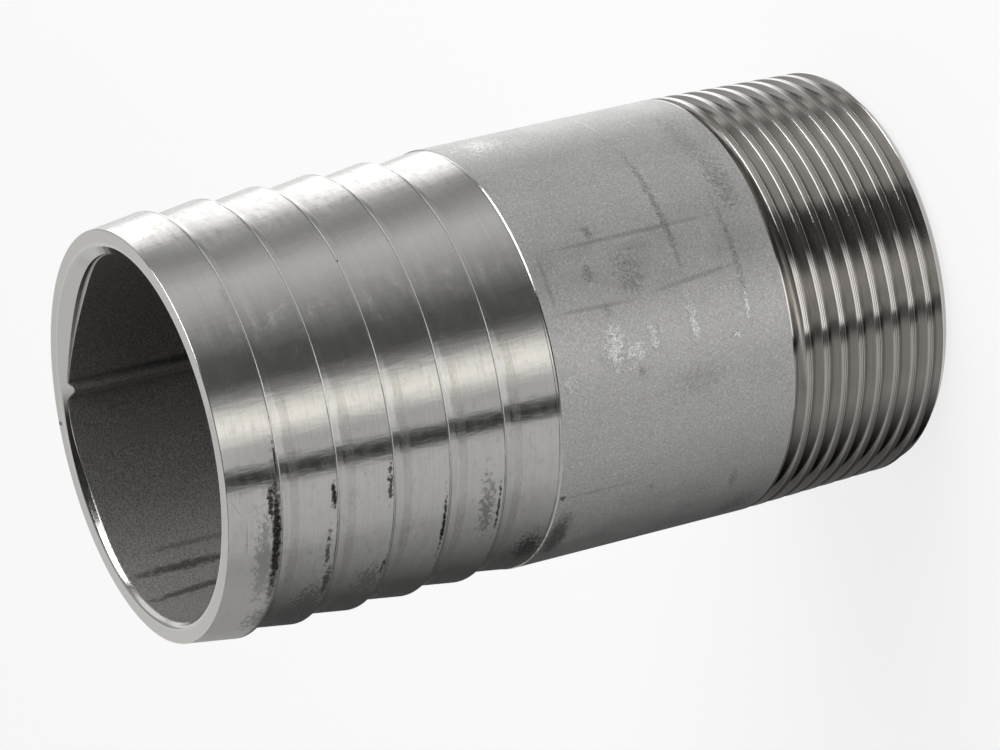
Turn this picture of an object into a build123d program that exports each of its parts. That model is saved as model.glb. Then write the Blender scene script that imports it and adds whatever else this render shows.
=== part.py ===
"""Hose barb tail: one piece turned from welded stainless steel pipe.

Millimetres. The part stands on its thread end: z = 0 is the thread-end face and +Z runs up the pipe's
axis to the barbed mouth. Angles round the axis are measured from -Y towards +X.
"""
import math
import os

from build123d import *

# the pipe it is made from (NPS 1 1/2, schedule 40)
pipe_d = 48.3                 # outside diameter, left unturned in the middle
bore_d = 40.9                 # inside diameter
bore_shift = 0.45             # the turned ends and the bore do not share an axis: the mouth's wall is uneven
bore_shift_angle = -75.0      # towards here, degrees round the axis
seam_angle = 160.6            # the long weld seam inside the bore
seam_width = 2.2
seam_height = 0.5
seam_root = 0.2               # how far the seam's sketch reaches into the wall

# lengths along the axis
total_length = 90.5
thread_length = 21.0          # up to the edge of the plain pipe
barb_count = 6
barb_pitch = 6.75
first_barb_length = 6.2       # from the mouth face to the first crest

# barbs
crest_d = 48.1
valley_d = 46.5
valley_land = 0.95            # plain strip behind each crest, before the next ramp
mouth_d = 46.4                # where the first ramp starts
mouth_bevel_d = 42.94         # inner bevel of the mouth, at 45 degrees
bevel_depth = 4.0             # the bevel's cutter runs this deep, well past the bore's wall

# taper pipe thread R 1 1/2; its turns are plain rings here, not one winding
thread_pitch = 25.4 / 11
thread_taper = 1 / 32         # radius gained per millimetre of length
thread_half_angle = 27.5
thread_depth = 1.479          # from the flat crests down to the sharp roots
thread_turns = 9
groove_overlap = 0.1          # how far the cutter of a groove stands out of the thread's cone
end_face_d = 44.2             # the lead-in bevel leaves this face

pipe_r = pipe_d / 2
# the seam's top is an arc of this radius, from its width and height
seam_r = (seam_width**2 / 4 + seam_height**2) / (2 * seam_height)
barb_start = total_length - first_barb_length - (barb_count - 1) * barb_pitch
flank = math.tan(math.radians(thread_half_angle))
thread_end_r = pipe_r - thread_length * thread_taper
# the first groove opens right at the edge of the plain pipe
first_root_z = thread_length - thread_depth * flank
# the 45 degree lead-in meets the thread's cone here
lead_in = (thread_end_r - end_face_d / 2) / (1 - thread_taper)


def spot(radius, angle):
    """x and y of the point at this radius and angle round the axis."""
    a = math.radians(angle)
    return radius * math.sin(a), -radius * math.cos(a)


# outline of the turned pipe from the thread end up, as (radius, z)
outline = [
    (0, 0),
    (end_face_d / 2, 0),
    (end_face_d / 2 + lead_in, lead_in),
    (pipe_r, thread_length),
    (pipe_r, barb_start),
]
for i in range(barb_count):
    crest_z = barb_start + i * barb_pitch
    outline.append((crest_d / 2, crest_z))
    if i < barb_count - 1:
        outline.append((valley_d / 2, crest_z + barb_pitch - valley_land))
        outline.append((valley_d / 2, crest_z + barb_pitch))
outline += [(mouth_d / 2, total_length), (0, total_length)]

with BuildPart() as hose_tail:
    with BuildSketch(Plane.XZ):
        with BuildLine():
            Polyline(*outline, close=True)
        make_face()
        # thread grooves, each as deep below the cone as the next
        for i in range(thread_turns):
            groove_z = first_root_z - i * thread_pitch
            cone_r = pipe_r - (thread_length - groove_z) * thread_taper
            reach = thread_depth + groove_overlap
            with BuildLine():
                Polyline(
                    (cone_r - thread_depth, groove_z),
                    (cone_r + groove_overlap, groove_z + reach * flank),
                    (cone_r + groove_overlap, groove_z - reach * flank),
                    close=True,
                )
            make_face(mode=Mode.SUBTRACT)
    revolve(axis=Axis.Z)

    # bore, a little off the turned axis
    shift_x, shift_y = spot(bore_shift, bore_shift_angle)
    with BuildSketch():
        with Locations((shift_x, shift_y)):
            Circle(bore_d / 2)
    extrude(amount=total_length, mode=Mode.SUBTRACT)

    # weld seam: a low rounded ridge along the bore, rooted a little way into the wall
    seam_x, seam_y = spot(bore_d / 2 - seam_height + seam_r, seam_angle)
    with BuildSketch():
        with Locations((shift_x + seam_x, shift_y + seam_y)):
            Circle(seam_r)
        with Locations((shift_x, shift_y)):
            Circle(bore_d / 2 + seam_root, mode=Mode.INTERSECT)
    extrude(amount=total_length)

    # 45 degree bevel inside the mouth
    with BuildSketch(Plane.XY.offset(total_length)):
        Circle(mouth_bevel_d / 2)
    extrude(amount=-bevel_depth, taper=45, mode=Mode.SUBTRACT)

hose_tail.part.label = "hose_tail"
os.makedirs("parts", exist_ok=True)
export_step(hose_tail.part, "parts/hose_tail.step")
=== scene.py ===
"""The drawn hose tail: one turned steel piece in place of the plain CAD solid, on a pale floor.

Metres. z = 0 is the thread-end face and +Z runs up the pipe to the barbed mouth. Angles round the axis
are measured from -Y towards +X. Materials work in millimetres and degrees.
"""

import math

import bmesh
import bpy
from mathutils import Matrix, Vector


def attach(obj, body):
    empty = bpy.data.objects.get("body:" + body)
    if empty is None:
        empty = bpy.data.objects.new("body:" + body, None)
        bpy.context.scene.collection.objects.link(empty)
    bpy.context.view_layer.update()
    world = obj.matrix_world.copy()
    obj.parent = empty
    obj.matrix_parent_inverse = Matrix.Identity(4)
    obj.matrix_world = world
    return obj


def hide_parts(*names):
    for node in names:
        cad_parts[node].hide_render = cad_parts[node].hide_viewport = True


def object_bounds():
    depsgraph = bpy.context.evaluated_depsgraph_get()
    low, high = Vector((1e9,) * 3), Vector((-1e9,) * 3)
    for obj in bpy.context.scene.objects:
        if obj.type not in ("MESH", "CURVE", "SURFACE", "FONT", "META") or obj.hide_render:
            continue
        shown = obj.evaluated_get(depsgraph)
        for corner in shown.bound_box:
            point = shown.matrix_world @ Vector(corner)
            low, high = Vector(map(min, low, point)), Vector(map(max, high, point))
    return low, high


bl_info = {
    "name": "Hose Barb Tail",
    "version": (1, 0, 0),
    "blender": (4, 5, 0),
    "location": "3D View > Sidebar > Hose Tail",
    "description": "A turned steel hose tail with barbs, a plain stretch of pipe and a taper thread",
    "category": "Add Mesh",
}

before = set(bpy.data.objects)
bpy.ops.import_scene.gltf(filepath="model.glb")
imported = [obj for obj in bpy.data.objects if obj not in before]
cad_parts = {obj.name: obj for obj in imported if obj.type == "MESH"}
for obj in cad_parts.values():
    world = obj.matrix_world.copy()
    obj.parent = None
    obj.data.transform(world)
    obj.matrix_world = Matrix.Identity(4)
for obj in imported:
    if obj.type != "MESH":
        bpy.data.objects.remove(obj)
CAD_LOW, CAD_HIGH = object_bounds()
MM = 0.001
PIECE = "turned_hose_tail"
NODE = "hose_tail"
FINE = 0.04 * MM                # support rows beside an edge keep the shading of a flat face flat
SHARP_ANGLE = math.radians(38)  # edges that turn by more are drawn sharp

THREAD_HALF_ANGLE = math.radians(27.5)
THREAD_TAPER = 1 / 32           # radius gained per length
BEVEL_TILT = math.radians(45)   # the bevel inside the mouth
STRIP_TILT = math.radians(12)   # the steep strip under it

# the bore's own form, in degrees round the axis and millimetres
BORE_SHIFT_ANGLE = -75.0
# its swells, as centre, half width and height
BORE_SWELLS = ((125, 20, -0.2), (168, 20, 0.62), (220, 30, 0.24), (92, 16, 0.2))
WELD_ANGLE, WELD_HALF, WELD_HEIGHT = 160.9, 2.6, 0.62
WELD_STEEP, WELD_EASY = 0.45, 1.3       # powers that shape the weld's upper and lower side
# the steep strip and the second bevel under the mouth's bevel are widest here, and narrow over this far
STRIP_ANGLE, STRIP_SPREAD = 120.0, 27.0
STRIP_LEAST, STRIP_GAIN = 0.06, 0.4
SECOND_LEAST, SECOND_GAIN = 0.02, 0.26

# the photograph's view, from a pinhole camera fitted to the photo's circles and lines
LENS = 191.47                   # millimetres, on a sensor 36 wide
CAMERA_FORWARD = 0.54465        # metres from the axis, towards -Y
CAMERA_HEIGHT = 0.29832
# degrees round the axis, above the level, and rolled, because the part lies across the frame
VIEW_TURN, VIEW_RISE, VIEW_ROLL = 0.279, 24.843, -103.51


def length(name, description, default):
    """A size in metres that the user can change."""
    return bpy.props.FloatProperty(
        name=name, description=description, default=default, unit="LENGTH", precision=5, min=0.0
    )


def colour(name, description, default):
    """A colour that the user can change."""
    return bpy.props.FloatVectorProperty(
        name=name, description=description, default=default, subtype="COLOR", size=3, min=0.0, max=1.0
    )


class HoseTailSizes(bpy.types.PropertyGroup):
    """Sizes of the turned pipe."""

    total: length("Length", "From the thread-end face to the mouth", CAD_HIGH.z)
    pipe_r: length("Pipe radius", "Outside of the unturned pipe", CAD_HIGH.x)
    bore_r: length("Bore radius", "Inside of the pipe, before its own unevenness", 20.45 * MM)
    bore_shift: length("Bore shift", "How far the bore lies off the turned axis", 0.45 * MM)
    thread_end: length("Thread length", "Height of the edge of the plain pipe", 21.0 * MM)
    thread_pitch: length("Thread pitch", "Eleven turns to the inch", 25.4 / 11 * MM)
    thread_depth: length("Thread depth", "From crest to root", 1.32 * MM)
    thread_crest_round: length("Thread crest rounding", "Rounding of the thread's crests", 0.09 * MM)
    thread_root_round: length("Thread root rounding", "Rounding of the thread's roots", 0.15 * MM)
    crest_height: length("Crest height", "Height of a crest's middle on the -Y side", 17.0 * MM)
    end_face_r: length("End face radius", "Where the lead-in bevel leaves the end face", 22.1 * MM)
    edge_land: length("Edge land", "Polished edge of the plain pipe beside the thread", 0.2 * MM)
    turned_step: length("Turned step", "Length of the step where the barbs' turning starts", 0.1 * MM)
    barb_start: length("Barb start", "Height where the turned barbs begin", 50.55 * MM)
    barb_pitch: length("Barb pitch", "From one crest to the next", 6.75 * MM)
    barbs: bpy.props.IntProperty(name="Barbs", description="How many barbs", default=6, min=1, max=12)
    crest_r: length("Crest radius", "Radius over the barbs", 24.05 * MM)
    crest_round: length("Crest rounding", "Rounding of each crest's edge", 0.24 * MM)
    valley_r: length("Valley radius", "Radius behind each crest", 23.25 * MM)
    valley_land: length("Valley land", "Straight strip behind each crest", 0.95 * MM)
    mouth_r: length("Mouth radius", "Where the first ramp starts", 23.2 * MM)
    mouth_round: length("Mouth rounding", "Rounding of the mouth's outer edge", 0.13 * MM)
    mouth_bevel_r: length("Mouth bevel radius", "Where the inner bevel meets the mouth face", 21.47 * MM)
    bevel_round: length("Bevel rounding", "Rounding from the mouth face into the inner bevel", 0.7 * MM)
    columns: bpy.props.IntProperty(
        name="Columns", description="Columns of faces round the pipe", default=288, min=32, max=512
    )


class HoseTailColours(bpy.types.PropertyGroup):
    """Colours of the bare and the dirty steel, and of painted shade on it."""

    bright: colour("Turned steel", "Freshly turned surfaces", (0.63, 0.622, 0.603))
    rough: colour("Rough turning", "The duller strip where each cut starts", (0.59, 0.575, 0.545))
    thread: colour("Thread steel", "The cut thread", (0.62, 0.60, 0.575))
    pickled: colour("Pickled steel", "The pipe's own dull skin", (0.66, 0.655, 0.645))
    bore: colour("Bore steel", "The rough skin inside the pipe", (0.29, 0.28, 0.27))
    # the stain colour also serves as painted shade on the thread and beside the bore's weld
    stain: colour("Stain", "Dark marks on the steel", (0.035, 0.032, 0.03))
    scuff: colour("Scuff", "Light scratches on the dull skin", (0.96, 0.96, 0.95))
    floor: colour("Floor", "The pale floor", (0.95, 0.95, 0.95))


# the turned outline


def thread_offsets(s):
    """Distances along the axis from a crest's middle, one pitch of them, with the depth at each."""
    crest_round, root_round = s.thread_crest_round, s.thread_root_round
    tilt = math.pi / 2 - THREAD_HALF_ANGLE
    rise = 1 - math.cos(tilt)
    flank = s.thread_depth - (crest_round + root_round) * rise
    run = flank * math.tan(THREAD_HALF_ANGLE) + (crest_round + root_round) * math.sin(tilt)
    root_at = s.thread_pitch / 2
    crest_half = root_at - run
    support, steps = 0.03 * MM, 3
    side = [(crest_half - support, 0.0), (crest_half, 0.0)]
    for i in range(1, steps + 1):
        a = tilt * i / steps
        side.append((crest_half + crest_round * math.sin(a), crest_round * (1 - math.cos(a))))
    # a support point at each end of the flank
    over, down = support * math.cos(tilt), support * math.sin(tilt)
    side.append((side[-1][0] + over, side[-1][1] + down))
    foot = (root_at - root_round * math.sin(tilt), s.thread_depth - root_round * rise)
    side.append((foot[0] - over, foot[1] - down))
    for i in range(steps + 1):
        a = tilt * (1 - i / steps)
        side.append((root_at - root_round * math.sin(a), s.thread_depth - root_round * (1 - math.cos(a))))
    lower = [(-d, depth) for d, depth in reversed(side[:-1])]
    return lower + side


def thread_depth_at(offsets, distance):
    """Depth under the thread's cone at this distance from the nearest crest's middle."""
    distance = abs(distance)
    last_d, last_depth = 0.0, 0.0
    for d, depth in offsets:
        if d < 0:
            continue
        if distance <= d:
            share = (distance - last_d) / (d - last_d) if d > last_d else 1.0
            return last_depth + share * (depth - last_depth)
        last_d, last_depth = d, depth
    return last_depth


def thread_rows(s, angle):
    """Radius and height of each point up the thread at this angle. The thread is right-handed."""
    offsets = thread_offsets(s)
    first = s.crest_height + s.thread_pitch * angle / (2 * math.pi)
    below = math.ceil((s.crest_height + s.thread_pitch) / s.thread_pitch) + 1
    above = math.ceil((s.thread_end - s.crest_height) / s.thread_pitch) + 1
    heights = []
    for turn in range(-below, above + 1):
        heights += [first + turn * s.thread_pitch + d for d, _ in offsets]
    heights = [min(max(z, 0.0), s.thread_end) for z in heights]

    def thread_r(z):
        turns = (z - first) / s.thread_pitch
        cone = s.pipe_r - (s.thread_end - z) * THREAD_TAPER
        return cone - thread_depth_at(offsets, (turns - round(turns)) * s.thread_pitch)

    def spare(z):
        return thread_r(z) - (s.end_face_r + z)

    # a row is moved onto each place where the lead-in bevel cuts the thread
    tiny = 1e-7
    for i in range(len(heights) - 1):
        a, b = heights[i], heights[i + 1]
        if b - a > tiny and (spare(a) > 0) != (spare(b) > 0):
            cut = a + (b - a) * spare(a) / (spare(a) - spare(b))
            heights[i if cut - a < b - cut and i else i + 1] = cut
    return [(min(thread_r(z), s.end_face_r + z), z) for z in heights]


def off_angle(degrees, centre):
    """Degrees from this centre, between -180 and 180."""
    return (degrees - centre + 180) % 360 - 180


def bore_radius(s, angle):
    """Radius of the bore about the turned axis: off centre, uneven beside the weld, with the weld's ridge."""
    degrees = math.degrees(angle)
    r = s.bore_r + s.bore_shift * math.cos(angle - math.radians(BORE_SHIFT_ANGLE))
    for centre, half_width, height in BORE_SWELLS:
        r += height * MM * math.exp(-((off_angle(degrees, centre) / half_width) ** 2))
    share = off_angle(degrees, WELD_ANGLE) / WELD_HALF
    if abs(share) < 1:
        r -= WELD_HEIGHT * MM * (1 - abs(share)) ** (WELD_STEEP if share < 0 else WELD_EASY)
    return r


def barb_rows(s, i):
    """One barb from its crest up, to the next barb's crest or to the mouth's edge."""
    z = s.barb_start + i * s.barb_pitch
    last = i == s.barbs - 1
    foot_z = s.total if last else z + s.barb_pitch - s.valley_land
    foot_r = s.mouth_r if last else s.valley_r
    tilt = math.atan2(s.crest_r - foot_r, foot_z - z)
    points, steps = [], 6
    # the lowest crest stands on the step where turning starts, and each of the others is rounded
    for k in range(steps + 1 if i else 0):
        a = -math.pi / 2 + (math.pi / 2 + tilt) * k / steps
        points.append((s.crest_r - s.crest_round * (1 - math.cos(a)), z + s.crest_round * (1 + math.sin(a))))
    ramp_z = z + 1.1 * s.crest_round
    ramp_end = foot_z - FINE - (s.mouth_round if last else 0.0)
    for height in (ramp_z + FINE, ramp_end):
        points.append((s.crest_r + (foot_r - s.crest_r) * (height - ramp_z) / (foot_z - ramp_z), height))
    if not last:
        next_z = z + s.barb_pitch
        points += [(s.valley_r, foot_z), (s.valley_r, foot_z + FINE)]
        points += [(s.valley_r, next_z - FINE), (s.valley_r + FINE, next_z)]
    return [(r, height, "barbs") for r, height in points]


def mouth_rows(s):
    """The mouth's rounded outer edge, its face, and the rounding from the face into the inner bevel."""
    rows = []
    lean, proud, steps = math.radians(8), 0.03 * MM, 4
    for k in range(steps + 1):
        a = lean + (math.pi / 2 - lean) * k / steps
        r = s.mouth_r + proud - s.mouth_round * (1 - math.cos(a))
        rows.append((r, s.total - s.mouth_round * (1 - math.sin(a)), "barbs" if k < steps else "face"))
    rows.append((s.mouth_r - s.mouth_round - FINE, s.total, "face"))
    start_r, steps = s.mouth_bevel_r + s.bevel_round * math.tan(BEVEL_TILT / 2), 5
    rows.append((start_r + FINE, s.total, "face"))
    for k in range(steps + 1):
        a = BEVEL_TILT * k / steps
        r = start_r - s.bevel_round * math.sin(a)
        rows.append((r, s.total - s.bevel_round * (1 - math.cos(a)), "bevel"))
    z = rows[-1][1]
    return rows + [(r - FINE, z - FINE, "bevel")]


def outer_rows(s, angle):
    """Radius, height and finish of each point from the shoulder of the thread up to the mouth's bevel."""
    thread_top = thread_rows(s, angle)[-1][0]
    rows = [
        (max(s.pipe_r - FINE, thread_top), s.thread_end, "thread"),
        (s.pipe_r, s.thread_end + FINE, "thread"),
        (s.pipe_r, s.thread_end + s.edge_land, "pickled"),
        (s.pipe_r, s.barb_start - FINE, "pickled"),
        (s.pipe_r, s.barb_start, "barbs"),
        (s.crest_r, s.barb_start + s.turned_step, "barbs"),
    ]
    for i in range(s.barbs):
        rows += barb_rows(s, i)
    return rows + mouth_rows(s)


def inner_rows(s, angle):
    """The foot of the mouth's bevel, the bore and the thread-end face."""
    r = bore_radius(s, angle)
    # under the bevel runs a steeper strip, and then a small second bevel
    near = math.exp(-((off_angle(math.degrees(angle), STRIP_ANGLE) / STRIP_SPREAD) ** 2))
    strip = (STRIP_LEAST + STRIP_GAIN * near) * MM
    second = (SECOND_LEAST + SECOND_GAIN * near) * MM
    lean, fine = math.tan(STRIP_TILT), 0.015 * MM
    foot = r + second
    top = s.total - (s.mouth_bevel_r - foot - lean * strip)
    second_foot = top - strip - second
    rows = [
        (foot + lean * strip + fine, top + fine, "bevel"),
        (foot + lean * strip, top, "bevel"),
        (foot + lean * (strip - fine), top - fine, "bevel"),
        (foot + lean * fine, top - strip + fine, "bevel"),
        (foot, top - strip, "face"),
        (r, second_foot, "bore"),
        (r, second_foot - fine, "bore"),
    ]
    first_ring, ring_gap, rings = 3 * MM, 12 * MM, 8
    rows += [(r, s.total - first_ring - ring_gap * k, "bore") for k in range(rings)]
    end_round = 0.35 * MM
    return rows + [(r, end_round, "face"), (r + end_round, 0.0, "face")]


def column_angles(s):
    """Even columns, with more of them across the weld in the bore."""
    angles = [2 * math.pi * i / s.columns for i in range(s.columns + 1)]
    weld_from, weld_step, weld_columns = 156.5, 0.5, 17
    angles += [math.radians(weld_from + weld_step * i) for i in range(weld_columns)]
    return sorted(angles)


def column(s, angle):
    """One closed outline of the pipe wall, as points and the finish between each and the next."""
    points, finishes = [], []
    for r, z in thread_rows(s, angle):
        points.append((r, z))
        finishes.append("thread")
    for r, z, finish in outer_rows(s, angle) + inner_rows(s, angle):
        points.append((r, z))
        finishes.append(finish)
    x, y = math.sin(angle), -math.cos(angle)
    return [(r * x, r * y, z) for r, z in points], finishes


def build_pipe_mesh(s, finishes_in_order):
    """The whole turned pipe as one closed mesh, a column at a time."""
    same, flat = 1e-6, 1e-7
    shape = bmesh.new()
    columns = []
    for angle in column_angles(s):
        points, finishes = column(s, angle)
        columns.append([shape.verts.new(p) for p in points])
    rows = len(finishes)
    for left, right in zip(columns, columns[1:]):
        for i in range(rows):
            k = (i + 1) % rows
            quad = [left[i], right[i], right[k], left[k]]
            face = shape.faces.new(quad)
            face.material_index = finishes_in_order.index(finishes[i])
            face.smooth = True
    bmesh.ops.remove_doubles(shape, verts=shape.verts, dist=same)
    bmesh.ops.dissolve_degenerate(shape, edges=shape.edges, dist=flat)
    bmesh.ops.recalc_face_normals(shape, faces=shape.faces)
    mesh = bpy.data.meshes.new(PIECE)
    shape.to_mesh(mesh)
    shape.free()
    mesh.set_sharp_from_angle(angle=SHARP_ANGLE)
    return mesh


# node trees


class Nodes:
    """Short ways to add and join nodes in one tree."""

    def __init__(self, tree):
        self.tree = tree

    def put(self, target, value):
        if isinstance(value, bpy.types.NodeSocket):
            self.tree.links.new(value, target)
        elif value is not None:
            target.default_value = value

    def add(self, kind, settings=None, **inputs):
        node = self.tree.nodes.new(kind)
        for key, value in (settings or {}).items():
            setattr(node, key, value)
        for key, value in inputs.items():
            self.put(node.inputs[key.replace("_", " ")], value)
        return node

    def math(self, operation, *values, clamp=False):
        node = self.add("ShaderNodeMath", {"operation": operation, "use_clamp": clamp})
        for socket, value in zip(node.inputs, values):
            self.put(socket, value)
        return node.outputs[0]

    def times(self, first, *others):
        for value in others:
            first = self.math("MULTIPLY", first, value)
        return first

    def plus(self, a, b):
        return self.math("ADD", a, b)

    def minus(self, a, b):
        return self.math("SUBTRACT", a, b)

    def most(self, a, b):
        return self.math("MAXIMUM", a, b)

    def size(self, a):
        return self.math("ABSOLUTE", a)

    def between(self, value, low, high, out_low=0.0, out_high=1.0):
        """A smooth step from out_low to out_high while value goes from low to high."""
        node = self.add("ShaderNodeMapRange", {"interpolation_type": "SMOOTHSTEP"})
        for socket, v in zip(node.inputs, (value, low, high, out_low, out_high)):
            self.put(socket, v)
        return node.outputs[0]

    def window(self, value, start, full, full_end, end):
        """1 from full to full_end, fading out to start below and to end above."""
        return self.times(self.between(value, start, full), self.between(value, end, full_end))

    def mix(self, share, a, b):
        """A colour between a and b. The Mix node's colour sockets are inputs 6 and 7 and output 2."""
        node = self.add("ShaderNodeMix", {"data_type": "RGBA"})
        self.put(node.inputs["Factor"], share)
        self.put(node.inputs[6], a)
        self.put(node.inputs[7], b)
        return node.outputs[2]

    def blend(self, share, a, b):
        """A number between a and b. The Mix node's second input isn't used for numbers."""
        node = self.add("ShaderNodeMix", {"data_type": "FLOAT"})
        for socket, v in zip(node.inputs, (share, None, a, b)):
            self.put(socket, v)
        return node.outputs[0]


def shade(c, level=1.0):
    """A colour made darker or lighter, with alpha."""
    return (c[0] * level, c[1] * level, c[2] * level, 1.0)


def new_group(name, inputs, outputs):
    """An empty shader group and its Nodes, with its input and output ends."""
    tree = bpy.data.node_groups.new(name, "ShaderNodeTree")
    for label, kind, default in inputs:
        socket = tree.interface.new_socket(name=label, in_out="INPUT", socket_type=kind)
        socket.default_value = default
    for label, kind in outputs:
        tree.interface.new_socket(name=label, in_out="OUTPUT", socket_type=kind)
    nodes = Nodes(tree)
    return nodes, nodes.add("NodeGroupInput").outputs, nodes.add("NodeGroupOutput").inputs


def place(nodes, name, **inputs):
    """A group placed in a material, with its own values."""
    node = nodes.tree.nodes.new("ShaderNodeGroup")
    node.node_tree = bpy.data.node_groups[name]
    for key, value in inputs.items():
        nodes.put(node.inputs[key.replace("_", " ")], value)
    return node.outputs


def build_round_the_axis():
    """Where a point lies on the pipe: angle in degrees, height in millimetres, and the point itself."""
    nodes, _, out = new_group(
        "Round the axis",
        [],
        [("Angle", "NodeSocketFloat"), ("Height", "NodeSocketFloat"), ("Point", "NodeSocketVector")],
    )
    place_of = nodes.add("ShaderNodeTexCoord").outputs["Object"]
    scaled = nodes.tree.nodes.new("ShaderNodeVectorMath")
    scaled.operation = "SCALE"
    nodes.put(scaled.inputs[0], place_of)
    nodes.put(scaled.inputs["Scale"], 1 / MM)
    parts = nodes.add("ShaderNodeSeparateXYZ", Vector=scaled.outputs[0]).outputs
    turn = nodes.math("ARCTAN2", parts["X"], nodes.times(parts["Y"], -1.0))
    nodes.put(out["Angle"], nodes.math("DEGREES", turn))
    nodes.put(out["Height"], parts["Z"])
    nodes.put(out["Point"], scaled.outputs[0])


def build_stretched_grain():
    """Uneven grain from 0 to 1, of one size round the pipe and another along it, in millimetres."""
    nodes, given, out = new_group(
        "Stretched grain",
        [
            ("Point", "NodeSocketVector", (0.0, 0.0, 0.0)),
            ("Round", "NodeSocketFloat", 1.0),
            ("Along", "NodeSocketFloat", 1.0),
            ("Detail", "NodeSocketFloat", 3.0),
        ],
        [("Grain", "NodeSocketFloat")],
    )
    parts = nodes.add("ShaderNodeSeparateXYZ", Vector=given["Point"]).outputs
    x = nodes.math("DIVIDE", parts["X"], given["Round"])
    y = nodes.math("DIVIDE", parts["Y"], given["Round"])
    z = nodes.math("DIVIDE", parts["Z"], given["Along"])
    place_of = nodes.add("ShaderNodeCombineXYZ", X=x, Y=y, Z=z).outputs[0]
    noise = nodes.add("ShaderNodeTexNoise", Vector=place_of, Scale=1.0, Detail=given["Detail"], Roughness=0.6)
    nodes.put(out["Grain"], noise.outputs["Fac"])


def build_blotch():
    """A blotch or a line with a broken edge, centred at an angle and a height. Sizes are half its extent."""
    nodes, given, out = new_group(
        "Blotch",
        [
            ("Angle here", "NodeSocketFloat", 0.0),
            ("Height here", "NodeSocketFloat", 0.0),
            ("Ragged", "NodeSocketFloat", 0.5),
            ("Angle", "NodeSocketFloat", 0.0),
            ("Height", "NodeSocketFloat", 0.0),
            ("Across", "NodeSocketFloat", 3.0),
            ("Along", "NodeSocketFloat", 1.0),
            ("Slant", "NodeSocketFloat", 0.0),
            ("Broken", "NodeSocketFloat", 0.5),
        ],
        [("Mask", "NodeSocketFloat")],
    )
    up = nodes.minus(given["Height here"], given["Height"])
    turn = nodes.minus(given["Angle here"], given["Angle"])
    pipe_r_mm = 24.15
    over = nodes.minus(nodes.times(turn, pipe_r_mm * math.pi / 180), nodes.times(up, given["Slant"]))
    u = nodes.math("DIVIDE", over, given["Across"])
    v = nodes.math("DIVIDE", up, given["Along"])
    away = nodes.math("SQRT", nodes.plus(nodes.times(u, u), nodes.times(v, v)))
    ragged = nodes.times(nodes.minus(given["Ragged"], 0.5), given["Broken"])
    edge = nodes.plus(away, nodes.times(ragged, 5.0))
    nodes.put(out["Mask"], nodes.between(edge, 1.15, 0.35))


def new_material(name):
    """A new material with its nodes and its one shader, which is steel."""
    material = bpy.data.materials.new(name)
    material.use_nodes = True
    material.node_tree.nodes.clear()
    nodes = Nodes(material.node_tree)
    steel = nodes.add("ShaderNodeBsdfPrincipled", Metallic=1.0)
    nodes.add("ShaderNodeOutputMaterial", Surface=steel.outputs["BSDF"])
    return material, nodes, steel


def turned_tangent(nodes, steel, amount):
    """The tool's rings stretch reflections along the axis."""
    tangent = nodes.add("ShaderNodeTangent", {"direction_type": "RADIAL", "axis": "Z"})
    nodes.put(steel.inputs["Tangent"], tangent.outputs["Tangent"])
    steel.inputs["Anisotropic"].default_value = amount
    steel.inputs["Anisotropic Rotation"].default_value = 0.25


def bump(nodes, steel, height, distance_mm=1.0):
    """Bump of this height, in units of the distance."""
    node = nodes.add("ShaderNodeBump", Height=height, Strength=1.0, Distance=distance_mm * MM)
    nodes.put(steel.inputs["Normal"], node.outputs["Normal"])


# marks read off the photo, in degrees and millimetres, as
# (angle, height, half width round the pipe, half length along it, slant, broken, strength)
BARB_STAINS = (
    (-37, 85.1, 10.5, 0.62, 0.0, 0.3, 1.0), (-25, 85.6, 2.2, 0.5, 0.0, 0.8, 0.9),
    (-14, 84.8, 2.6, 0.16, 0.0, 0.5, 0.9), (-43, 86.3, 7.0, 1.2, 0.0, 0.6, 0.35),
    (-27, 78.25, 1.8, 0.34, 0.0, 0.5, 1.0), (-57, 78.3, 3.4, 0.4, 0.0, 0.8, 0.75),
    (-44, 78.7, 2.6, 0.25, 0.0, 0.9, 0.7), (-40, 77.9, 6.0, 0.1, 0.0, 0.3, 0.6),
    (-28, 71.5, 2.2, 0.3, 0.0, 0.9, 0.85), (-56, 71.4, 1.7, 0.25, 0.0, 0.9, 0.8),
    (-45, 64.75, 4.8, 0.22, 0.0, 0.55, 1.0), (-44, 58.05, 3.8, 0.16, 0.0, 0.6, 0.9),
    (-43, 59.4, 4.4, 0.8, 0.0, 0.9, 0.35), (-68, 85.0, 3.0, 1.8, 0.0, 0.7, 0.5),
    (-68, 52.3, 4.2, 1.7, 0.0, 0.5, 0.9), (34, 71.0, 0.3, 0.12, 0.0, 0.4, 1.0),
    (24.5, 79.6, 0.16, 2.2, -0.25, 0.4, 0.4), (21.5, 81.2, 0.2, 1.2, -0.9, 0.4, 0.35),
    (-25, 89.5, 0.12, 0.7, 1.8, 0.15, 0.2), (-35, 88.4, 2.8, 0.12, 0.0, 0.15, 0.2),
    (-45, 89.0, 0.12, 0.6, -2.0, 0.15, 0.15), (31, 85.0, 1.6, 0.3, 0.0, 0.8, 0.3),
    (-62, 72.5, 3.0, 1.6, 0.0, 0.8, 0.35), (-64, 79.5, 3.0, 1.8, 0.0, 0.8, 0.4),
)
PIPE_LINES = (
    (22.6, 37.5, 0.34, 12.5, 0.0, 0.12, 0.36), (7.0, 31.5, 0.34, 6.5, -0.09, 0.12, 0.36),
    (5.2, 44.5, 0.3, 6.0, 0.03, 0.12, 0.36), (14.0, 49.0, 3.6, 0.34, 0.0, 0.12, 0.28),
    (-46.3, 45.0, 0.2, 6.0, 0.0, 0.15, 0.3), (-46.0, 50.0, 0.42, 0.5, 0.0, 0.6, 1.0),
    (-63.0, 49.2, 4.9, 1.6, 0.0, 0.22, 1.0),
)
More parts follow.
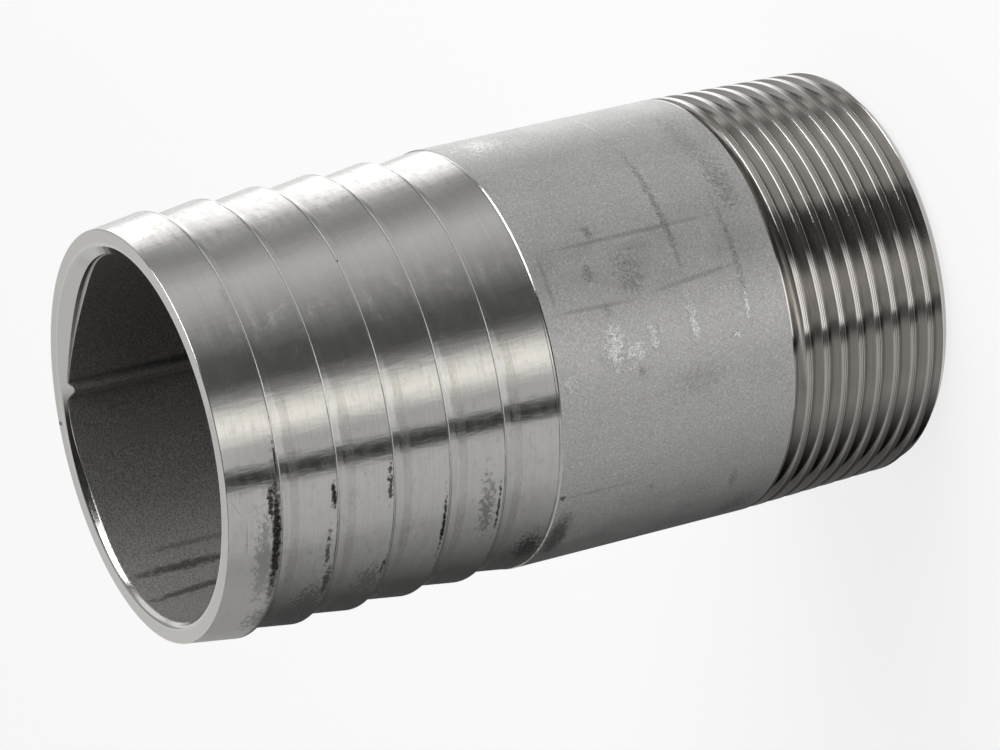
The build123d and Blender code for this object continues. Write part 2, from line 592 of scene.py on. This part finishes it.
PIPE_STAINS = (
    (28.0, 32.8, 9.5, 0.5, 0.0, 0.5, 0.55), (14.0, 26.0, 6.5, 0.45, 0.0, 0.5, 0.5),
    (12.0, 39.2, 2.8, 1.8, 0.3, 0.8, 0.45), (25.5, 42.0, 1.0, 0.7, 0.5, 0.5, 0.6),
    (14.5, 44.0, 1.2, 0.8, 0.0, 0.6, 0.5), (4.0, 43.0, 1.0, 0.6, 0.0, 0.6, 0.5),
    (33.0, 24.0, 4.5, 1.4, 0.0, 0.8, 0.5), (50.0, 25.0, 5.0, 1.5, 0.0, 0.9, 0.3),
    (-56.0, 27.5, 1.9, 0.6, 0.0, 0.7, 0.5), (-72.0, 25.0, 3.0, 2.0, 0.0, 0.7, 0.6),
    (-50.0, 38.5, 0.5, 0.25, 0.5, 0.5, 0.5), (56.5, 33.3, 0.25, 0.3, 0.0, 0.5, 0.7),
    (-14.0, 40.2, 1.0, 0.5, 0.0, 0.8, 0.5), (-19.0, 33.0, 2.0, 3.0, 0.0, 0.8, 0.25),
)
PIPE_SCUFFS = (
    (-5.5, 42.9, 3.0, 1.7, -0.9, 0.7, 1.0), (-8.5, 40.6, 2.2, 1.5, -0.5, 0.8, 0.9),
    (-5.0, 38.2, 2.2, 0.7, 0.2, 0.7, 1.0), (-3.5, 33.0, 3.6, 0.75, 0.1, 0.7, 1.0),
    (-3.0, 26.1, 2.4, 0.4, 0.0, 0.6, 1.0), (-10.3, 28.0, 0.5, 0.9, 0.0, 0.6, 1.0),
    (-12.0, 49.0, 1.6, 0.9, 0.0, 0.8, 0.7), (71.0, 46.0, 3.0, 3.2, 0.0, 0.8, 0.8),
    (68.0, 46.8, 0.9, 0.16, 0.3, 0.3, 0.7), (69.0, 32.8, 4.5, 0.25, 0.0, 0.3, 0.55),
    (62.0, 28.3, 1.6, 0.2, 0.0, 0.4, 0.4), (-29.5, 41.7, 0.5, 0.07, 0.0, 0.2, 0.6),
    (-29.2, 40.2, 0.45, 0.07, 0.0, 0.2, 0.5), (-29.0, 38.7, 0.5, 0.07, 0.0, 0.2, 0.5),
    (-29.6, 37.2, 0.45, 0.07, 0.0, 0.2, 0.5), (-29.4, 35.7, 0.4, 0.07, 0.0, 0.2, 0.4),
)
# streaks down the bore, and at 158.1 degrees a painted shadow beside the weld
BORE_STAINS = (
    (-133.5, 83.0, 0.95, 7.6, 0.0, 0.35, 0.8), (-121.5, 83.4, 0.85, 7.2, 0.12, 0.35, 0.75),
    (-142.0, 80.0, 0.5, 8.0, 0.0, 0.5, 0.4), (158.1, 45.0, 0.8, 60.0, 0.0, 0.1, 1.0),
)
# a painted highlight along the top of the weld's ridge
BORE_RIDGE = ((162.0, 45.0, 0.35, 60.0, 0.0, 0.1, 0.5),)
FACE_NICKS = ((171.0, 90.5, 0.3, 1.0, 0.0, 0.2, 0.8),)
# fine lines along the thread's crests, as (middle above the crest's own middle, half width, strength)
THREAD_LINES = ((-0.15, 0.06, 1.0), (-0.34, 0.05, 0.7), (0.08, 0.045, 0.75))


def marks(nodes, at, ragged, table, crumbs):
    """One mask for a table of marks, each with its own strength, broken up by the crumbs."""
    total = None
    for angle, height, across, along, slant, broken, strength in table:
        mask = place(
            nodes, "Blotch", Angle_here=at["Angle"], Height_here=at["Height"], Ragged=ragged, Angle=angle,
            Height=height, Across=across, Along=along, Slant=slant, Broken=broken,
        )["Mask"]
        mask = nodes.times(mask, strength)
        total = mask if total is None else nodes.most(total, mask)
    return nodes.times(total, crumbs)


def grain(nodes, at, round_mm, along_mm, detail=3.0):
    """Grain of this size round the pipe and along it."""
    placed = place(nodes, "Stretched grain", Point=at["Point"], Round=round_mm, Along=along_mm, Detail=detail)
    return placed["Grain"]


def turned_barbs(s, c):
    """Bright turned steel: fine rings, a rough strip where each ramp starts, and dark marks by the crests."""
    material, nodes, steel = new_material("turned_barbs")
    at = place(nodes, "Round the axis")
    rings = grain(nodes, at, 18.0, 0.16)
    fine = grain(nodes, at, 1.6, 0.09, 2.0)
    ripple = grain(nodes, at, 0.9, 5.0, 2.0)
    cloud = grain(nodes, at, 2.5, 1.2, 4.0)
    smears = grain(nodes, at, 1.3, 0.7, 4.0)
    ragged = grain(nodes, at, 0.55, 0.4, 4.0)
    crumbs = nodes.between(grain(nodes, at, 0.16, 0.16, 2.0), 0.32, 0.46, 0.5, 1.0)
    above = nodes.math("MODULO", nodes.minus(at["Height"], s.barb_start / MM), s.barb_pitch / MM)
    last_crest = (s.barb_start + (s.barbs - 1) * s.barb_pitch) / MM
    in_front = nodes.window(at["Angle"], -170, -110, -6, 10)

    # where each ramp but the mouth's own starts, the tool left a rougher strip, plainest in front
    strip = nodes.times(nodes.window(above, 4.5, 4.62, 5.45, 5.62), nodes.between(fine, 0.3, 0.62, 0.45, 1.0))
    strip = nodes.times(strip, nodes.between(at["Height"], last_crest - 0.3, last_crest - 0.7))
    strip = nodes.times(strip, nodes.blend(in_front, 0.3, 1.0))
    # the ramp at the mouth is dulled by handling, and its colour is made lighter there as painted light
    handled = nodes.between(at["Height"], last_crest + 0.1, last_crest + 0.9)
    handled = nodes.times(handled, nodes.between(at["Angle"], -30, -55), in_front)
    # a thin dark line runs just above each crest
    edge = nodes.times(nodes.window(above, 0.26, 0.3, 0.36, 0.42), nodes.between(cloud, 0.3, 0.6, 0.15, 0.5))
    dark = nodes.most(marks(nodes, at, ragged, BARB_STAINS, crumbs), edge)

    colour_here = nodes.mix(nodes.between(rings, 0.3, 0.7), shade(c.bright, 0.93), shade(c.bright))
    # painted light: the handled ramp's colour is lighter than the steel's own
    colour_here = nodes.mix(nodes.times(handled, 0.8), colour_here, shade(c.bright, 1.4))
    colour_here = nodes.mix(nodes.times(strip, 0.75), colour_here, shade(c.rough))
    colour_here = nodes.mix(nodes.between(smears, 0.56, 0.72, 0.0, 0.3), colour_here, shade(c.bright, 0.75))
    nodes.put(steel.inputs["Base Color"], nodes.mix(dark, colour_here, shade(c.stain)))
    smeared = nodes.between(smears, 0.5, 0.7, 0.0, 0.05)
    rough = nodes.plus(nodes.between(cloud, 0.3, 0.75, 0.18, 0.23), smeared)
    for mask, more in ((strip, 0.07), (handled, 0.27), (dark, 0.35)):
        rough = nodes.plus(rough, nodes.times(mask, more))
    nodes.put(steel.inputs["Roughness"], rough)
    nodes.put(steel.inputs["Metallic"], nodes.minus(1.0, nodes.times(handled, 0.5)))
    height = nodes.plus(nodes.times(rings, 0.001), nodes.times(ripple, 0.011))
    bump(nodes, steel, nodes.plus(height, nodes.times(fine, strip, 0.0035)))
    turned_tangent(nodes, steel, 0.9)
    return material


def pickled_pipe(s, c):
    """The dull grey skin of pickled pipe: fine speckle, faint drawing streaks, handling marks and scuffs."""
    material, nodes, steel = new_material("pickled_pipe")
    at = place(nodes, "Round the axis")
    speckle = grain(nodes, at, 0.2, 0.2, 3.0)
    cloud = grain(nodes, at, 3.2, 4.5, 4.0)
    streaks = grain(nodes, at, 0.35, 9.0, 2.0)
    ragged = grain(nodes, at, 0.5, 0.5, 4.0)
    crumbs = grain(nodes, at, 0.13, 0.13, 2.0)
    stains = marks(nodes, at, ragged, PIPE_STAINS, nodes.between(crumbs, 0.46, 0.56, 0.08, 1.0))
    lines = marks(nodes, at, ragged, PIPE_LINES, nodes.between(crumbs, 0.34, 0.6, 1.0, 0.45))
    light = marks(nodes, at, ragged, PIPE_SCUFFS, nodes.between(crumbs, 0.52, 0.45, 0.05, 1.0))

    colour_here = nodes.mix(nodes.between(cloud, 0.3, 0.7), shade(c.pickled, 0.93), shade(c.pickled))
    colour_here = nodes.mix(nodes.between(speckle, 0.5, 0.66, 0.0, 0.5), colour_here, shade(c.pickled, 0.6))
    colour_here = nodes.mix(nodes.between(speckle, 0.46, 0.34, 0.0, 0.5), colour_here, shade(c.scuff))
    colour_here = nodes.mix(nodes.between(streaks, 0.58, 0.75, 0.0, 0.25), colour_here, shade(c.pickled, 0.7))
    # painted shade: the skin low down on the left is darkened
    left = nodes.window(at["Angle"], -178, -140, -80, -52)
    colour_here = nodes.mix(nodes.times(left, 0.55), colour_here, shade(c.pickled, 0.4))
    colour_here = nodes.mix(light, colour_here, shade(c.scuff))
    nodes.put(steel.inputs["Base Color"], nodes.mix(nodes.most(stains, lines), colour_here, shade(c.stain)))
    rough = nodes.between(cloud, 0.3, 0.7, 0.47, 0.55)
    nodes.put(steel.inputs["Roughness"], nodes.minus(rough, nodes.times(light, 0.2)))
    bump(nodes, steel, nodes.plus(nodes.times(speckle, 0.02), nodes.times(light, 0.14)), 0.6)
    return material


def cut_thread(s, c):
    """The bright cut thread: fine dark lines run along each crest; the roots, the groove wall under the
    pipe's edge and the flanks on the left are darkened as painted shade.
    """
    material, nodes, steel = new_material("cut_thread")
    at = place(nodes, "Round the axis")
    pitch, end = s.thread_pitch / MM, s.thread_end / MM
    climb = nodes.times(at["Angle"], pitch / 360)
    from_crest = nodes.minus(nodes.minus(at["Height"], s.crest_height / MM), climb)
    # distance above the nearest crest's middle
    above = nodes.minus(nodes.math("FLOORED_MODULO", nodes.plus(from_crest, pitch / 2), pitch), pitch / 2)
    away = nodes.size(above)
    wear = grain(nodes, at, 2.0, 0.3, 3.0)
    fine = grain(nodes, at, 8.0, 0.07, 2.0)

    lines = 0.0
    for middle, half, strength in THREAD_LINES:
        line = nodes.between(nodes.size(nodes.minus(above, middle)), half, half * 0.4)
        lines = nodes.most(lines, nodes.times(line, strength))
    lines = nodes.times(lines, nodes.between(wear, 0.3, 0.5, 0.7, 1.0))
    # painted shade: the thread's roots are darkened
    root = nodes.between(away, 0.85, 1.1, 0.0, 0.45)
    # painted shade: in front, the wall of the last groove is darkened under the pipe's edge
    wall = nodes.window(at["Height"], end - 0.15, end - 0.03, end + 0.005, end + 0.03)
    wall = nodes.times(wall, nodes.between(nodes.size(at["Angle"]), 30, 8))
    dirt = nodes.most(lines, nodes.most(root, nodes.times(wall, 0.9)))
    # painted shade: the flanks on the left are darkened
    left = nodes.window(at["Angle"], -176, -130, -68, -38)
    left = nodes.times(left, nodes.between(away, 0.3, 0.45, 0.35, 0.95))

    colour_here = nodes.mix(nodes.between(fine, 0.3, 0.7), shade(c.thread, 0.9), shade(c.thread))
    colour_here = nodes.mix(dirt, colour_here, shade(c.stain, 3))
    nodes.put(steel.inputs["Base Color"], nodes.mix(left, colour_here, shade(c.stain, 1.4)))
    nodes.put(steel.inputs["Roughness"], nodes.between(wear, 0.3, 0.7, 0.09, 0.15))
    bump(nodes, steel, nodes.times(fine, 0.0012))
    turned_tangent(nodes, steel, 0.6)
    return material


def faced_end(s, c):
    """The satin end faces, with a nick in the outer part of the mouth's."""
    material, nodes, steel = new_material("faced_end")
    at = place(nodes, "Round the axis")
    cloud = grain(nodes, at, 0.5, 0.5, 3.0)
    colour_here = nodes.mix(nodes.between(cloud, 0.3, 0.7), shade(c.rough), shade(c.bright))
    parts = nodes.add("ShaderNodeSeparateXYZ", Vector=at["Point"]).outputs
    radius = nodes.math("SQRT", nodes.plus(*(nodes.times(parts[k], parts[k]) for k in ("X", "Y"))))
    nick = marks(nodes, at, cloud, FACE_NICKS, nodes.between(radius, 22.0, 22.4))
    nodes.put(steel.inputs["Base Color"], nodes.mix(nick, colour_here, shade(c.stain)))
    nodes.put(steel.inputs["Roughness"], nodes.between(cloud, 0.2, 0.8, 0.32, 0.42))
    bump(nodes, steel, nodes.times(cloud, 0.01))
    turned_tangent(nodes, steel, 0.5)
    return material


def inner_bevel(s, c):
    """The bright bevel inside the mouth."""
    material, nodes, steel = new_material("inner_bevel")
    at = place(nodes, "Round the axis")
    cloud = grain(nodes, at, 0.8, 0.3, 3.0)
    nodes.put(steel.inputs["Base Color"], shade(c.bright))
    nodes.put(steel.inputs["Roughness"], nodes.between(cloud, 0.2, 0.8, 0.1, 0.16))
    return material


def rough_bore(s, c):
    """The dark grained skin inside the pipe, with two streaks where something ran down it, a painted shadow
    and a painted highlight along the weld, and one side painted lighter.
    """
    material, nodes, steel = new_material("rough_bore")
    at = place(nodes, "Round the axis")
    fine = grain(nodes, at, 0.2, 0.2, 3.0)
    cloud = grain(nodes, at, 4.0, 6.0, 4.0)
    ragged = grain(nodes, at, 0.5, 0.8, 4.0)
    crumbs = grain(nodes, at, 0.16, 0.16, 2.0)
    colour_here = nodes.mix(nodes.between(fine, 0.38, 0.62), shade(c.bore, 0.4), shade(c.bore))
    colour_here = nodes.mix(nodes.between(cloud, 0.35, 0.7, 0.0, 0.25), colour_here, shade(c.bore, 0.6))
    # painted light: the side where light comes into the bore is made lighter
    worn_angle = -122.0
    worn = nodes.between(nodes.size(nodes.minus(at["Angle"], worn_angle)), 50, 8)
    worn = nodes.times(worn, nodes.between(fine, 0.4, 0.6, 0.35, 0.9))
    colour_here = nodes.mix(worn, colour_here, shade(c.bore, 1.4))
    # painted highlight on the weld's ridge
    ridge = marks(nodes, at, ragged, BORE_RIDGE, 1.0)
    colour_here = nodes.mix(ridge, colour_here, shade(c.bore, 1.6))
    # real streaks, with painted shadow beside the weld
    dark = marks(nodes, at, ragged, BORE_STAINS, nodes.between(crumbs, 0.36, 0.5, 0.6, 1.0))
    nodes.put(steel.inputs["Base Color"], nodes.mix(dark, colour_here, shade(c.stain)))
    nodes.put(steel.inputs["Roughness"], nodes.between(fine, 0.3, 0.7, 0.5, 0.62))
    nodes.put(steel.inputs["Metallic"], nodes.between(fine, 0.3, 0.7, 0.2, 0.45))
    bump(nodes, steel, nodes.times(fine, 0.09))
    return material


FINISHES = {
    "thread": cut_thread,
    "pickled": pickled_pipe,
    "barbs": turned_barbs,
    "face": faced_end,
    "bevel": inner_bevel,
    "bore": rough_bore,
}


# stage

# how bright the room's screens are, by degrees round the axis: (angle, level). The levels were listed
# and adjusted against tones measured in the photo, so they follow its tones at the mirrored angles.
ROOM = (
    (-180, 0.4), (-171, 0.05), (-135, 0.07), (-115, 0.19), (-96, 0.37), (-77, 0.54), (-50, 0.64),
    (-41, 0.64), (-38, 0.02), (-31.5, 0.02), (-27.5, 0.6), (-19, 0.5), (-8, 1.4), (0, 1.02), (7, 0.3),
    (15, 0.09), (28, 0.1), (40, 0.22), (52, 0.39), (64, 0.58), (74, 0.65), (98, 0.27), (106, 0.45),
    (117, 1.6), (124, 2.0), (142, 1.9), (152, 1.0), (169, 0.85), (180, 0.4),
)
# the same under the screens, where the thread's flanks look, adjusted in the same way
FEET = (
    (-180, 0.2), (-170, 0.05), (-120, 0.08), (-100, 0.16), (-80, 0.34), (-60, 0.46), (-42, 0.46),
    (-37, 0.12), (-31, 0.12), (-26, 0.42), (-18, 0.4), (-8, 0.5), (0, 0.42), (6, 0.12), (12, 0.06),
    (39, 0.07), (45, 0.5), (70, 0.62), (92, 0.45), (110, 0.2), (170, 0.3), (180, 0.2),
)
ROOM_PEAK = 2.0
# levels of the rest of the room, where 1 is plain white
GAP, LEFT_GAP, GROUND, SIDE_GROUND, BACK_GROUND, LOW_STRIP = 0.12, 0.04, 1.6, 0.8, 0.7, 1.6
CEILING, RIGHT_CEILING, LEFT_WALL, RIGHT_WALL, BACK_WALL = 0.025, 0.4, 0.66, 0.95, 0.76


def by_turn(nodes, turn, table):
    """The level a table gives for a direction round the axis."""
    ramp = nodes.add("ShaderNodeValToRGB")
    ramp.color_ramp.interpolation = "LINEAR"
    stops = ramp.color_ramp.elements
    stops.remove(stops[-1])
    for i, (angle, level) in enumerate(table):
        stop = stops.new((angle + 180) / 360) if i else stops[0]
        stop.color = (level / ROOM_PEAK,) * 3 + (1.0,)
    nodes.put(ramp.inputs["Fac"], nodes.math("DIVIDE", nodes.plus(turn, 180.0), 360.0))
    return nodes.times(ramp.outputs["Color"], ROOM_PEAK)


def low_screens(nodes, turn, rise):
    """Light from the screens and the ground, by degrees round the axis and above the level."""
    # the white screen on the right leans back
    lean = nodes.times(nodes.plus(rise, 16.0), 1.4)
    leant = nodes.plus(turn, nodes.times(nodes.between(turn, 60, 110), lean))
    feet, screens = by_turn(nodes, turn, FEET), by_turn(nodes, leant, ROOM)
    light = nodes.blend(nodes.between(rise, -33, -27), feet, screens)
    # it stands between two dark gaps
    gaps = nodes.most(nodes.between(rise, -14, -10), nodes.between(rise, -30, -34))
    light = nodes.blend(nodes.times(nodes.between(leant, 108, 118), gaps), light, GAP)
    # the ground close to the part is bright, less so at the sides, and reaches higher at the far right
    higher = nodes.times(nodes.between(turn, 100, 112), 11.0)
    close = nodes.between(nodes.minus(rise, higher), -48, -58)
    close = nodes.times(close, nodes.window(turn, -105, -80, 168, 179))
    sides = nodes.most(nodes.window(turn, 30, 50, 100, 115), nodes.between(turn, -30, -55))
    light = nodes.blend(close, light, nodes.blend(sides, GROUND, SIDE_GROUND))
    behind = nodes.times(nodes.between(nodes.size(turn), 154, 166), nodes.between(rise, -30, -42))
    light = nodes.blend(behind, light, BACK_GROUND)
    # in front a low bright strip shows in the thread's crests only
    strip = nodes.times(nodes.window(rise, -35, -31, -27.4, -25.4), nodes.window(turn, -31, -28, 2, 16))
    light = nodes.blend(strip, light, LOW_STRIP)
    # on the left the screens end low
    left = nodes.times(nodes.between(turn, -70, -88), nodes.between(rise, -10, -2))
    return nodes.blend(left, light, LEFT_GAP)


def high_walls(nodes, turn, rise, back):
    """Light from the walls above the screens, and from the dark ceiling over the front."""
    # the left wall's foot slopes down towards the back
    foot = nodes.most(nodes.plus(nodes.times(nodes.plus(turn, 145.0), 0.63), 9.0), 8.0)
    left = nodes.times(nodes.between(turn, -42, -64), nodes.between(nodes.minus(rise, foot), -14, -7))
    # the right wall is taller beside the soft box than further back
    top = nodes.blend(nodes.between(turn, 146, 136), 14.0, 36.0)
    right = nodes.times(nodes.between(turn, 102, 122), nodes.between(nodes.minus(rise, top), 5, -5))
    ceiling = nodes.blend(nodes.between(turn, 112, 135), CEILING, RIGHT_CEILING)
    light = nodes.blend(right, nodes.blend(left, ceiling, LEFT_WALL), RIGHT_WALL)
    return nodes.blend(back, light, BACK_WALL)


def build_room(world):
    """A pale room with dark gaps between its screens, plain white behind the part."""
    world.use_nodes = True
    world.node_tree.nodes.clear()
    nodes = Nodes(world.node_tree)
    direction = nodes.add("ShaderNodeTexCoord").outputs["Generated"]
    parts = nodes.add("ShaderNodeSeparateXYZ", Vector=direction).outputs
    turn = nodes.math("DEGREES", nodes.math("ARCTAN2", parts["X"], nodes.times(parts["Y"], -1.0)))
    rise = nodes.math("DEGREES", nodes.math("ARCSINE", parts["Z"]))
    # the walls start highest in front and lowest at the back
    back = nodes.most(nodes.between(turn, 164, 170), nodes.between(turn, -158, -168))
    over = nodes.blend(nodes.between(turn, 64, 102), nodes.between(rise, 6, 20), nodes.between(rise, -2, 7))
    over = nodes.blend(nodes.most(back, nodes.between(turn, -138, -150)), over, nodes.between(rise, -14, -6))
    level = nodes.blend(over, low_screens(nodes, turn, rise), high_walls(nodes, turn, rise, back))
    to_camera = nodes.add("ShaderNodeLightPath").outputs["Is Camera Ray"]
    level = nodes.blend(to_camera, level, 1.0)
    # the screen in front is a warm white
    warm = nodes.times(nodes.window(turn, -20, -10, 1, 6), nodes.between(rise, -26, -23))
    warm = nodes.times(warm, nodes.minus(1.0, to_camera))
    tint = nodes.mix(warm, shade((1.0, 1.0, 1.0)), shade((1.0, 0.975, 0.92)))
    background = nodes.add("ShaderNodeBackground", Color=tint, Strength=level)
    nodes.add("ShaderNodeOutputWorld", Surface=background.outputs[0])


def build_floor(c, size):
    """A large pale disc under the part. The metal looks past it into the room."""
    segments, drop, glow_share = 96, 0.02 * MM, 0.8
    shape = bmesh.new()
    bmesh.ops.create_circle(shape, cap_ends=True, segments=segments, radius=size)
    mesh = bpy.data.meshes.new("floor")
    shape.to_mesh(mesh)
    shape.free()
    floor = bpy.data.objects.new("floor", mesh)
    bpy.context.scene.collection.objects.link(floor)
    floor.location = (0.0, 0.0, -drop)
    floor.visible_glossy = False
    floor.visible_shadow = False
    material = bpy.data.materials.new("pale_floor")
    material.use_nodes = True
    material.node_tree.nodes.clear()
    nodes = Nodes(material.node_tree)
    matt = nodes.add("ShaderNodeBsdfPrincipled", Base_Color=shade(c.floor), Roughness=0.9)
    glow = nodes.add("ShaderNodeEmission", Strength=1.0)
    share = nodes.times(nodes.add("ShaderNodeLightPath").outputs["Is Camera Ray"], glow_share)
    both = nodes.add("ShaderNodeMixShader", Fac=share)
    nodes.put(both.inputs[1], matt.outputs[0])
    nodes.put(both.inputs[2], glow.outputs[0])
    nodes.add("ShaderNodeOutputMaterial", Surface=both.outputs[0])
    mesh.materials.append(material)


def build_lamp(name, turn, rise, distance, width, height, power):
    """A soft box, placed by degrees round and above the part and facing it."""
    data = bpy.data.lights.new(name, "AREA")
    data.shape = "RECTANGLE"
    data.size = width
    data.size_y = height
    data.energy = power
    lamp = bpy.data.objects.new(name, data)
    bpy.context.scene.collection.objects.link(lamp)
    a, e = math.radians(turn), math.radians(rise)
    direction = Vector((math.sin(a) * math.cos(e), -math.cos(a) * math.cos(e), math.sin(e)))
    lamp.location = direction * distance
    lamp.rotation_mode = "QUATERNION"
    lamp.rotation_quaternion = direction.to_track_quat("Z", "Y")
    return lamp


def build_camera():
    """The photograph's view."""
    data = bpy.data.cameras.new("camera")
    data.lens = LENS
    data.sensor_width = 36.0
    data.clip_start, data.clip_end = 0.01, 50.0
    camera = bpy.data.objects.new("camera", data)
    turn, rise, roll = (math.radians(v) for v in (VIEW_TURN, VIEW_RISE, VIEW_ROLL))
    facing = Matrix.Rotation(turn, 4, "Z") @ Matrix.Rotation(math.pi / 2 - rise, 4, "X")
    place_of = Matrix.Translation((0.0, -CAMERA_FORWARD, CAMERA_HEIGHT))
    camera.matrix_world = place_of @ facing @ Matrix.Rotation(roll, 4, "Z")
    bpy.context.scene.collection.objects.link(camera)
    bpy.context.scene.camera = camera


# operators


class HOSETAIL_OT_pipe(bpy.types.Operator):
    """Build the turned pipe with its barbs, thread, bore and finishes"""

    bl_idname = "hosetail.pipe"
    bl_label = "Build the turned pipe"

    def execute(self, context):
        sizes, colours = context.scene.hose_tail_sizes, context.scene.hose_tail_colours
        for build in (build_round_the_axis, build_stretched_grain, build_blotch):
            build()
        mesh = build_pipe_mesh(sizes, list(FINISHES))
        for finish in FINISHES.values():
            mesh.materials.append(finish(sizes, colours))
        pipe = bpy.data.objects.new(PIECE, mesh)
        context.scene.collection.objects.link(pipe)
        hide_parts(NODE)
        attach(pipe, "root")
        return {"FINISHED"}


class HOSETAIL_OT_stage(bpy.types.Operator):
    """Set the floor, the room, the lamp and the camera"""

    bl_idname = "hosetail.stage"
    bl_label = "Set the stage"

    def execute(self, context):
        colours = context.scene.hose_tail_colours
        world = bpy.data.worlds.new("room")
        context.scene.world = world
        build_room(world)
        build_floor(colours, size=4.0)
        build_lamp("soft_box_right", turn=74, rise=50, distance=0.9, width=0.8, height=0.38, power=6.6)
        build_camera()
        context.scene.view_settings.view_transform = "Standard"
        return {"FINISHED"}


class HOSETAIL_PT_panel(bpy.types.Panel):
    """Lists the sizes, the colours and the building steps"""

    bl_idname = "HOSETAIL_PT_panel"
    bl_label = "Hose Tail"
    bl_space_type = "VIEW_3D"
    bl_region_type = "UI"
    bl_category = "Hose Tail"

    def draw(self, context):
        for group in (context.scene.hose_tail_sizes, context.scene.hose_tail_colours):
            column_of = self.layout.column()
            for name in group.__annotations__:
                column_of.prop(group, name)
        self.layout.operator(HOSETAIL_OT_pipe.bl_idname)
        self.layout.operator(HOSETAIL_OT_stage.bl_idname)


CLASSES = (HoseTailSizes, HoseTailColours, HOSETAIL_OT_pipe, HOSETAIL_OT_stage, HOSETAIL_PT_panel)


def register():
    for cls in CLASSES:
        bpy.utils.register_class(cls)
    bpy.types.Scene.hose_tail_sizes = bpy.props.PointerProperty(type=HoseTailSizes)
    bpy.types.Scene.hose_tail_colours = bpy.props.PointerProperty(type=HoseTailColours)


def unregister():
    del bpy.types.Scene.hose_tail_colours
    del bpy.types.Scene.hose_tail_sizes
    for cls in reversed(CLASSES):
        bpy.utils.unregister_class(cls)


def main():
    register()
    bpy.ops.hosetail.pipe()
    bpy.ops.hosetail.stage()


if __name__ == "__main__":
    main()
